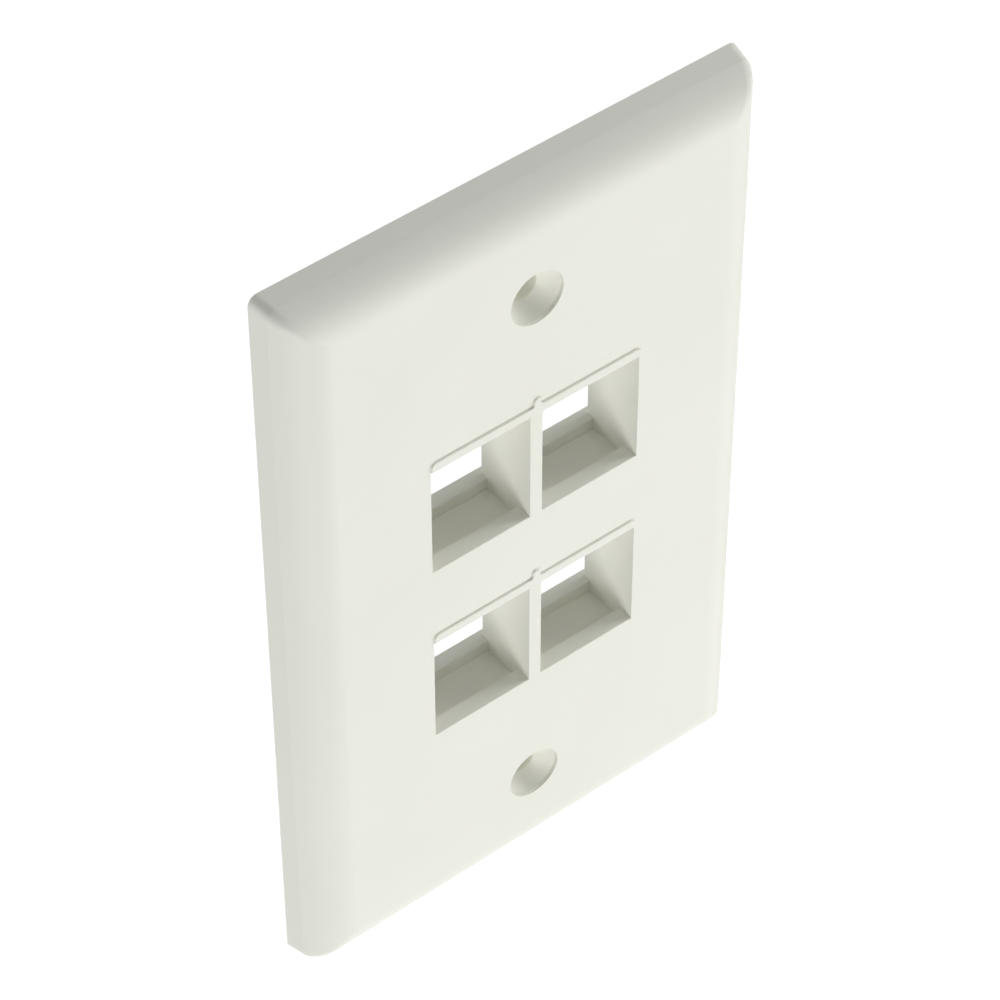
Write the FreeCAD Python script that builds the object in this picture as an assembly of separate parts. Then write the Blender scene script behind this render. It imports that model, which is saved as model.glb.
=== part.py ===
import FreeCAD, Part
import math
import os

from FreeCAD import Vector

# Sizes are in millimetres. X runs across the plate, Z up it and Y into the wall.
# The origin is the centre of the rear rim, which seats on the wall plane Y = 0,
# so the front face looks along -Y.

# Plate
PLATE_WIDTH = 69.85
PLATE_HEIGHT = 114.3
PLATE_DEPTH = 6.8             # wall plane to the flat front face
FACE_THICKNESS = 2.25

# Edge of the plate: a drafted skirt, then a roll that runs out into the face
SKIRT_DEPTH = 2.8
SKIRT_INSET = 0.45
ROLL_REACH = 6.0              # rim to the start of the flat face
CORNER_RADIUS = 1.4           # along each corner, from the rim up into the roll

# Hollow behind the face, which follows the edge inside
RIM_THICKNESS = 2.1
HOLLOW_SKIRT_DEPTH = 1.2
HOLLOW_SKIRT_INSET = 0.25
HOLLOW_ROLL_REACH = 4.3
HOLLOW_CORNER_RADIUS = 0.8

# Mounting screws: 6-32 oval heads in 82 degree countersinks
SCREW_SPACING = 83.34
SCREW_BORE_RADIUS = 1.98
SINK_MOUTH_RADIUS = 3.84
SINK_LAND_DEPTH = 0.5
SINK_ANGLE = 82.0
BOSS_RADIUS = 5.0
BOSS_RIB_THICKNESS = 1.3
BOSS_RIB_REAR = -1.6

# Keystone ports, two by two
PORT_WIDTH = 14.73
PORT_HEIGHT = 16.85
PORT_WEB = 1.81               # wall shared by two ports side by side
ROW_PITCH = 29.32
LOWER_ROW_SILL = -23.0
PORT_WALL = 1.25
PORT_WALL_REAR = 2.55
CATCH_DEPTH = 1.85            # catch pockets below the sill and above the roof
POCKET_REAR = 1.45            # front of the shelf behind the lower pocket
SHELF_REAR = 3.5
LATCH_REAR = 0.9              # front of the latch bar behind the upper pocket
LATCH_RAMP = 0.9
ROOF_LIP_RADIUS = 0.35        # front edges of the roof and the sill
SILL_LIP_RADIUS = 0.15

# Raised brow over each pair of ports
BROW_PROUD = 0.3
BROW_HEIGHT = 1.45
BROW_CORNER_RADIUS = 0.7
BROW_EDGE_RADIUS = 0.1
NIB_WIDTH = 1.0               # small nib at the middle of the brow
NIB_RISE = 1.2
NIB_FILLET = 0.45

HALF_WIDTH = PLATE_WIDTH / 2
HALF_HEIGHT = PLATE_HEIGHT / 2
FACE_REAR = FACE_THICKNESS - PLATE_DEPTH
BLOCK_HALF_WIDTH = PORT_WEB / 2 + PORT_WIDTH + PORT_WALL
BLOCK_MARGIN = CATCH_DEPTH + PORT_WALL
ROW_SILLS = (LOWER_ROW_SILL, LOWER_ROW_SILL + ROW_PITCH)
PORT_CENTRES_X = (-(PORT_WEB + PORT_WIDTH) / 2, (PORT_WEB + PORT_WIDTH) / 2)
SCREW_HEIGHTS = (-SCREW_SPACING / 2, SCREW_SPACING / 2)
OVERLAP = 0.5                 # how far fused and cut pieces run into their neighbour
TOLERANCE = 0.001


def box(x_range, y_range, z_range):
    """Block between three pairs of limits."""
    size = [high - low for low, high in (x_range, y_range, z_range)]
    corner = Vector(x_range[0], y_range[0], z_range[0])
    return Part.makeBox(size[0], size[1], size[2], corner)


def closed_face(edges):
    """Flat face inside a closed loop of edges."""
    return Part.Face(Part.Wire(Part.__sortEdges__(edges)))


def edge_section(half_span, depth, skirt, roll_reach):
    """Cross-section of a pillow-shaped plate in the XY plane, front towards -Y.

    Each side is a straight skirt, then an arc that ends tangent to the flat face.
    """
    skirt_depth, skirt_inset = skirt
    run = roll_reach - skirt_inset
    rise = depth - skirt_depth
    radius = (run**2 + rise**2) / (2 * rise)
    half_turn = math.asin(run / radius) / 2
    crest_x = half_span - roll_reach
    rim = Vector(half_span, 0, 0)
    shoulder = Vector(half_span - skirt_inset, -skirt_depth, 0)
    crest = Vector(crest_x, -depth, 0)
    middle = Vector(
        crest_x + radius * math.sin(half_turn),
        -depth + radius * (1 - math.cos(half_turn)),
        0,
    )

    def mirrored(point):
        return Vector(-point.x, point.y, point.z)

    return closed_face([
        Part.makeLine(mirrored(rim), rim),
        Part.makeLine(rim, shoulder),
        Part.Arc(shoulder, middle, crest).toShape(),
        Part.makeLine(crest, mirrored(crest)),
        Part.Arc(mirrored(crest), mirrored(middle), mirrored(shoulder)).toShape(),
        Part.makeLine(mirrored(shoulder), mirrored(rim)),
    ])


def pillow(half_width, half_height, depth, skirt, roll_reach, corner_radius):
    """Plate whose four rolled edges meet in rounded corners.

    skirt is its depth and how far its draft brings it in.
    """
    across = edge_section(half_width, depth, skirt, roll_reach)
    across.translate(Vector(0, 0, -half_height))
    rolled_sides = across.extrude(Vector(0, 0, 2 * half_height))

    upright = edge_section(half_height, depth, skirt, roll_reach)
    upright.rotate(Vector(0, 0, 0), Vector(0, 1, 0), -90)
    upright.translate(Vector(-half_width, 0, 0))
    rolled_ends = upright.extrude(Vector(2 * half_width, 0, 0))
    mitred = rolled_sides.common(rolled_ends)

    def on_mitre(edge):
        """True where an edge lies as far in from the side as from the end."""
        middle = edge.valueAt((edge.FirstParameter + edge.LastParameter) / 2)
        return abs((half_width - abs(middle.x)) - (half_height - abs(middle.z))) < TOLERANCE

    return mitred.makeFillet(corner_radius, [edge for edge in mitred.Edges if on_mitre(edge)])


def outer_body():
    """Solid outer form of the plate."""
    skirt = SKIRT_DEPTH, SKIRT_INSET
    return pillow(HALF_WIDTH, HALF_HEIGHT, PLATE_DEPTH, skirt, ROLL_REACH, CORNER_RADIUS)


def rear_hollow():
    """Space behind the face, open at the wall plane."""
    return pillow(
        HALF_WIDTH - RIM_THICKNESS,
        HALF_HEIGHT - RIM_THICKNESS,
        -FACE_REAR,
        (HOLLOW_SKIRT_DEPTH, HOLLOW_SKIRT_INSET),
        HOLLOW_ROLL_REACH,
        HOLLOW_CORNER_RADIUS,
    )


def port_block(sill):
    """Walls, pocket floors and shelf behind one row of ports, before the ports are cut."""
    low = sill - BLOCK_MARGIN
    high = sill + PORT_HEIGHT + BLOCK_MARGIN
    span = (-BLOCK_HALF_WIDTH, BLOCK_HALF_WIDTH)
    walls = box(span, (FACE_REAR - OVERLAP, PORT_WALL_REAR), (low, high))
    shelf = box(span, (POCKET_REAR, SHELF_REAR), (low, sill))
    return walls.fuse(shelf)


def port_cutter(sill):
    """Space of one port, centred on X = 0: tunnel, lower pocket, upper latch pocket."""
    roof = sill + PORT_HEIGHT
    pocket_floor = sill - CATCH_DEPTH
    pocket_roof = roof + CATCH_DEPTH
    front = -PLATE_DEPTH - BROW_PROUD - OVERLAP
    rear = SHELF_REAR + OVERLAP

    def at(y, z):
        return Vector(-PORT_WIDTH / 2, y, z)

    def lip(face, level, radius, side):
        """Rounded front edge, from the wall of the port out to the face in front."""
        middle = radius * (1 - math.sqrt(0.5))
        ends = at(face + radius, level), at(face, level + side * radius)
        return Part.Arc(ends[0], at(face + middle, level + side * middle), ends[1]).toShape()

    brow_face = -PLATE_DEPTH - BROW_PROUD
    roof_lip = lip(brow_face, roof, ROOF_LIP_RADIUS, 1)
    sill_lip = lip(-PLATE_DEPTH, sill, SILL_LIP_RADIUS, -1)
    outline = [
        at(-PLATE_DEPTH, sill - SILL_LIP_RADIUS),
        at(front, sill - SILL_LIP_RADIUS),
        at(front, roof + ROOF_LIP_RADIUS),
        at(brow_face, roof + ROOF_LIP_RADIUS),
    ]
    walls = [
        at(brow_face + ROOF_LIP_RADIUS, roof),
        at(FACE_REAR, roof),
        at(FACE_REAR, pocket_roof),
        at(LATCH_REAR, pocket_roof),
        at(LATCH_REAR, roof),
        at(PORT_WALL_REAR - LATCH_RAMP, roof),
        at(PORT_WALL_REAR, roof + LATCH_RAMP),
        at(rear, roof + LATCH_RAMP),
        at(rear, sill),
        at(POCKET_REAR, sill),
        at(POCKET_REAR, pocket_floor),
        at(FACE_REAR, pocket_floor),
        at(FACE_REAR, sill),
        at(SILL_LIP_RADIUS - PLATE_DEPTH, sill),
    ]
    edges = Part.makePolygon(outline).Edges + Part.makePolygon(walls).Edges
    side = closed_face(edges + [roof_lip, sill_lip])
    return side.extrude(Vector(PORT_WIDTH, 0, 0))


def brow(sill):
    """Raised bar over a row of ports, with a nib at its middle."""
    low = sill + PORT_HEIGHT
    high = low + BROW_HEIGHT
    half = PORT_WEB / 2 + PORT_WIDTH
    nib = NIB_WIDTH / 2
    tip = high + NIB_RISE
    diagonal = math.sqrt(0.5)
    corner_centre = (half - BROW_CORNER_RADIUS, high - BROW_CORNER_RADIUS)
    root_centre = (nib + NIB_FILLET, high + NIB_FILLET)

    def side(sign):
        def at(x, z):
            return Vector(sign * x, -PLATE_DEPTH, z)

        corner_middle = at(
            corner_centre[0] + BROW_CORNER_RADIUS * diagonal,
            corner_centre[1] + BROW_CORNER_RADIUS * diagonal,
        )
        root_middle = at(
            root_centre[0] - NIB_FILLET * diagonal,
            root_centre[1] - NIB_FILLET * diagonal,
        )
        return [
            Part.makeLine(at(0, low), at(half, low)),
            Part.makeLine(at(half, low), at(half, corner_centre[1])),
            Part.Arc(at(half, corner_centre[1]), corner_middle, at(corner_centre[0], high)).toShape(),
            Part.makeLine(at(corner_centre[0], high), at(root_centre[0], high)),
            Part.Arc(at(root_centre[0], high), root_middle, at(nib, root_centre[1])).toShape(),
            Part.makeLine(at(nib, root_centre[1]), at(nib, tip - nib)),
        ]

    crown = Part.Arc(
        Vector(nib, -PLATE_DEPTH, tip - nib),
        Vector(0, -PLATE_DEPTH, tip),
        Vector(-nib, -PLATE_DEPTH, tip - nib),
    ).toShape()
    outline = closed_face(side(1) + side(-1) + [crown])
    outline.translate(Vector(0, OVERLAP, 0))
    bar = outline.extrude(Vector(0, -BROW_PROUD - OVERLAP, 0))
    front = -PLATE_DEPTH - BROW_PROUD
    front_edges = [
        edge for edge in bar.Edges
        if edge.BoundBox.YMax - front < TOLERANCE
    ]
    return bar.makeFillet(BROW_EDGE_RADIUS, front_edges)


def screw_boss(height):
    """Round boss that reaches the wall plane, with stiffening ribs up and down the plate."""
    depth = OVERLAP - FACE_REAR
    post = Part.makeCylinder(
        BOSS_RADIUS, depth, Vector(0, FACE_REAR - OVERLAP, height), Vector(0, 1, 0)
    )
    outward = math.copysign(1, height)
    block_end = outward * (HALF_HEIGHT - RIM_THICKNESS - HOLLOW_SKIRT_INSET)
    port_end = ROW_SILLS[1] + PORT_HEIGHT + BLOCK_MARGIN - OVERLAP
    if height < 0:
        port_end = ROW_SILLS[0] - BLOCK_MARGIN + OVERLAP
    rib = box(
        (-BOSS_RIB_THICKNESS / 2, BOSS_RIB_THICKNESS / 2),
        (FACE_REAR - OVERLAP, BOSS_RIB_REAR),
        sorted((port_end, block_end)),
    )
    return post.fuse(rib)


def screw_cutter(height):
    """Land, countersink and through bore of one screw hole."""
    taper = (SINK_MOUTH_RADIUS - SCREW_BORE_RADIUS) / math.tan(math.radians(SINK_ANGLE / 2))
    land_end = -PLATE_DEPTH + SINK_LAND_DEPTH
    sink_end = land_end + taper
    profile = [
        (0, -PLATE_DEPTH - OVERLAP),
        (SINK_MOUTH_RADIUS, -PLATE_DEPTH - OVERLAP),
        (SINK_MOUTH_RADIUS, land_end),
        (SCREW_BORE_RADIUS, sink_end),
        (SCREW_BORE_RADIUS, OVERLAP),
        (0, OVERLAP),
        (0, -PLATE_DEPTH - OVERLAP),
    ]
    half = Part.Face(Part.makePolygon([Vector(r, y, height) for r, y in profile]))
    return half.revolve(Vector(0, 0, height), Vector(0, 1, 0), 360)


def faceplate():
    """The moulded plate as one solid."""
    hidden = rear_hollow()
    shell = outer_body().cut(hidden)
    added = [port_block(sill) for sill in ROW_SILLS]
    added += [brow(sill) for sill in ROW_SILLS]
    added += [screw_boss(height) for height in SCREW_HEIGHTS]
    body = shell.multiFuse(added)
    cutters = [screw_cutter(height) for height in SCREW_HEIGHTS]
    for sill in ROW_SILLS:
        for centre in PORT_CENTRES_X:
            port = port_cutter(sill)
            port.translate(Vector(centre, 0, 0))
            cutters.append(port)
    return body.cut(cutters).removeSplitter().Solids[0]


def main():
    os.makedirs("parts", exist_ok=True)
    faceplate().exportStep("parts/faceplate.step")


main()
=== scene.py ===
import math

import bpy
from mathutils import Matrix, Vector


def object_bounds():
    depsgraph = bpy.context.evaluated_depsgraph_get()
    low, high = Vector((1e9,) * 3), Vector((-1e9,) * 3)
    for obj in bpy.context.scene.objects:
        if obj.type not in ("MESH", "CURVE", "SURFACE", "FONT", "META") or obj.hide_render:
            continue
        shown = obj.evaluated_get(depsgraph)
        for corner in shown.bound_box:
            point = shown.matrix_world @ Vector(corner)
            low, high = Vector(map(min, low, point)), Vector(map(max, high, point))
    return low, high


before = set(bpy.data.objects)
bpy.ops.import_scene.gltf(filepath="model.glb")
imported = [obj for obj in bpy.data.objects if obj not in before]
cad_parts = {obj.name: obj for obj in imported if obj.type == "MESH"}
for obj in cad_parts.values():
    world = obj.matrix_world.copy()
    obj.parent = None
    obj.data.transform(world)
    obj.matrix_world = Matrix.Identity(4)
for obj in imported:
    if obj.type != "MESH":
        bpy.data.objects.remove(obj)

# Lengths are in metres. X runs across the plate, Z up it and Y into the wall.
# The plate faces -Y, and its rear rim lies on the plane Y = 0.

CAD_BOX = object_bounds()

# Camera
CAMERA_AZIMUTH = math.radians(-38.405)
CAMERA_ELEVATION = math.radians(46.103)
CAMERA_ROLL = math.radians(-0.113)
CAMERA_DISTANCE = 0.49806
CAMERA_AIM = Vector((-0.00009, 0.0, 0.00317))
CAMERA_LENS_MM = 148.08

# Studio
WHITE = (1.0, 1.0, 1.0, 1.0)
FLOOR_DROP = 1.1             # floor below the plate's lowest edge
FLOOR_SIZE = 8.0
FLOOR_PALE = (0.82, 0.82, 0.82, 1.0)
FLOOR_ROUGHNESS = 0.9
FLOOR_GLOW = 0.74            # added where the floor is seen, so that it reads white under the lamps
WORLD_PALE = (0.95, 0.97, 1.0, 1.0)
WORLD_STRENGTH = 0.25
BACKDROP_STRENGTH = 1.0      # plain white
LAMP_DISTANCE = 1.0
LAMP_DIAMETER = 0.6
# name: (azimuth, elevation, watts); azimuth 0 is straight in front, positive to the right
LAMPS = {
    "left_key": (-40, -25, 5.3),
    "right_key": (40, -25, 3.9),
    "front_fill": (0, 10, 0.6),
    "right_top_fill": (80, 40, 5.1),
    "left_rear_fill": (-120, 0, 2.7),
    "rear_fill": (165, -10, 5.0),
}

# Moulded plastic
PLASTIC = (0.812, 0.812, 0.734, 1.0)
PLASTIC_DEEP = (0.798, 0.798, 0.716, 1.0)
PLASTIC_IOR = 1.49
PLASTIC_SPECULAR = 0.35
TINT_FROM, TINT_TO = 0.35, 0.65
GLOSS_LOW, GLOSS_HIGH = 0.44, 0.56   # roughness
# Noises are (scale, detail), where the scale is the number of features in a metre.
TINT_NOISE = (55.0, 3.0)     # slow drift of the tint across the moulding
GLOSS_NOISE = (900.0, 4.0)
FLOW_NOISE = (260.0, 1.0)    # faint waviness left by the melt
FLOW_HEIGHT = 0.000010
GRAIN_NOISE = (5200.0, 2.0)  # fine satin grain of the mould
GRAIN_HEIGHT = 0.000004


def toward(azimuth, elevation):
    """Direction from the plate, from angles in radians; azimuth 0 is along -Y."""
    return Vector((
        math.sin(azimuth) * math.cos(elevation),
        -math.cos(azimuth) * math.cos(elevation),
        math.sin(elevation),
    ))


def add_camera():
    """Camera above and to the left of the plate, looking down at its front."""
    back = toward(CAMERA_AZIMUTH, CAMERA_ELEVATION)
    data = bpy.data.cameras.new("camera")
    data.lens = CAMERA_LENS_MM
    camera = bpy.data.objects.new("camera", data)
    bpy.context.collection.objects.link(camera)
    look = (-back).to_track_quat("-Z", "Y").to_matrix()
    turn = look @ Matrix.Rotation(CAMERA_ROLL, 3, "Z")
    place = Matrix.Translation(CAMERA_AIM + back * CAMERA_DISTANCE)
    camera.matrix_world = place @ turn.to_4x4()
    bpy.context.scene.camera = camera


def add_lamp(name, azimuth, elevation, watts):
    """Round soft lamp that points at the plate, from angles in degrees."""
    direction = toward(math.radians(azimuth), math.radians(elevation))
    data = bpy.data.lights.new(name, "AREA")
    data.shape = "DISK"
    data.size = LAMP_DIAMETER
    data.energy = watts
    lamp = bpy.data.objects.new(name, data)
    lamp.location = direction * LAMP_DISTANCE
    lamp.rotation_mode = "QUATERNION"
    lamp.rotation_quaternion = direction.to_track_quat("Z", "Y")
    lamp.visible_camera = False
    bpy.context.collection.objects.link(lamp)


def new_material(name):
    """Material with nodes, as (material, node tree, principled shader)."""
    material = bpy.data.materials.new(name)
    material.use_nodes = True
    tree = material.node_tree
    return material, tree, tree.nodes["Principled BSDF"]


def seen_directly(tree):
    """Socket that is 1 for rays from the eye, off gloss and through glass, and 0 for others."""
    path = tree.nodes.new("ShaderNodeLightPath")
    seen = path.outputs["Is Camera Ray"]
    for kind in ("Is Glossy Ray", "Is Transmission Ray"):
        either = tree.nodes.new("ShaderNodeMath")
        either.operation = "MAXIMUM"
        tree.links.new(seen, either.inputs[0])
        tree.links.new(path.outputs[kind], either.inputs[1])
        seen = either.outputs["Value"]
    return seen


def add_floor():
    """Pale floor that shows white under the lamps and can still darken in a shadow."""
    below = (0, 0, CAD_BOX[0].z - FLOOR_DROP)
    bpy.ops.mesh.primitive_plane_add(size=FLOOR_SIZE, location=below)
    floor = bpy.context.object
    floor.name = "floor"
    material, tree, paint = new_material("white_floor")
    paint.inputs["Base Color"].default_value = FLOOR_PALE
    paint.inputs["Roughness"].default_value = FLOOR_ROUGHNESS

    strength = tree.nodes.new("ShaderNodeMath")
    strength.operation = "MULTIPLY"
    strength.inputs[1].default_value = FLOOR_GLOW
    tree.links.new(seen_directly(tree), strength.inputs[0])
    glow = tree.nodes.new("ShaderNodeEmission")
    tree.links.new(strength.outputs["Value"], glow.inputs["Strength"])
    both = tree.nodes.new("ShaderNodeAddShader")
    tree.links.new(paint.outputs["BSDF"], both.inputs[0])
    tree.links.new(glow.outputs["Emission"], both.inputs[1])
    tree.links.new(both.outputs["Shader"], tree.nodes["Material Output"].inputs["Surface"])
    floor.data.materials.append(material)


def add_world():
    """Even pale light from all round, and a white backdrop where it is seen."""
    world = bpy.data.worlds.new("studio")
    bpy.context.scene.world = world
    world.use_nodes = True
    tree = world.node_tree
    light = tree.nodes["Background"]
    light.inputs["Color"].default_value = WORLD_PALE
    light.inputs["Strength"].default_value = WORLD_STRENGTH
    backdrop = tree.nodes.new("ShaderNodeBackground")
    backdrop.inputs["Color"].default_value = WHITE
    backdrop.inputs["Strength"].default_value = BACKDROP_STRENGTH
    blend = tree.nodes.new("ShaderNodeMixShader")
    tree.links.new(seen_directly(tree), blend.inputs["Fac"])
    tree.links.new(light.outputs["Background"], blend.inputs[1])
    tree.links.new(backdrop.outputs["Background"], blend.inputs[2])
    tree.links.new(blend.outputs["Shader"], tree.nodes["World Output"].inputs["Surface"])


def noise(tree, place, scale, detail):
    """Noise texture on the object's own coordinates."""
    texture = tree.nodes.new("ShaderNodeTexNoise")
    texture.inputs["Scale"].default_value = scale
    texture.inputs["Detail"].default_value = detail
    tree.links.new(place, texture.inputs["Vector"])
    return texture.outputs["Fac"]


def bump(tree, height, distance, normal=None):
    """Relief of a given height in metres, on top of an earlier normal."""
    relief = tree.nodes.new("ShaderNodeBump")
    relief.inputs["Strength"].default_value = 1.0
    relief.inputs["Distance"].default_value = distance
    tree.links.new(height, relief.inputs["Height"])
    if normal is not None:
        tree.links.new(normal, relief.inputs["Normal"])
    return relief.outputs["Normal"]


def moulded_plastic():
    """Off-white plastic with a satin mould grain, faint flow waves and a drifting tint."""
    material, tree, shader = new_material("moulded_plastic")
    shader.inputs["IOR"].default_value = PLASTIC_IOR
    shader.inputs["Specular IOR Level"].default_value = PLASTIC_SPECULAR
    coordinates = tree.nodes.new("ShaderNodeTexCoord")
    mapping = tree.nodes.new("ShaderNodeMapping")
    tree.links.new(coordinates.outputs["Object"], mapping.inputs["Vector"])
    place = mapping.outputs["Vector"]

    tint = tree.nodes.new("ShaderNodeValToRGB")
    ends = (TINT_FROM, PLASTIC_DEEP), (TINT_TO, PLASTIC)
    for element, (position, color) in zip(tint.color_ramp.elements, ends):
        element.position = position
        element.color = color
    tree.links.new(noise(tree, place, *TINT_NOISE), tint.inputs["Fac"])
    tree.links.new(tint.outputs["Color"], shader.inputs["Base Color"])

    gloss = tree.nodes.new("ShaderNodeMapRange")
    gloss.inputs["To Min"].default_value = GLOSS_LOW
    gloss.inputs["To Max"].default_value = GLOSS_HIGH
    tree.links.new(noise(tree, place, *GLOSS_NOISE), gloss.inputs["Value"])
    tree.links.new(gloss.outputs["Result"], shader.inputs["Roughness"])

    waves = bump(tree, noise(tree, place, *FLOW_NOISE), FLOW_HEIGHT)
    grain = bump(tree, noise(tree, place, *GRAIN_NOISE), GRAIN_HEIGHT, waves)
    tree.links.new(grain, shader.inputs["Normal"])
    return material


def dress_plate():
    """Give the moulded plate its finish."""
    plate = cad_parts["faceplate"]
    plate.material_slots[0].material = moulded_plastic()


add_camera()
add_world()
add_floor()
for lamp_name, (lamp_azimuth, lamp_elevation, lamp_watts) in LAMPS.items():
    add_lamp(lamp_name, lamp_azimuth, lamp_elevation, lamp_watts)
dress_plate()
bpy.context.scene.view_settings.view_transform = "Standard"
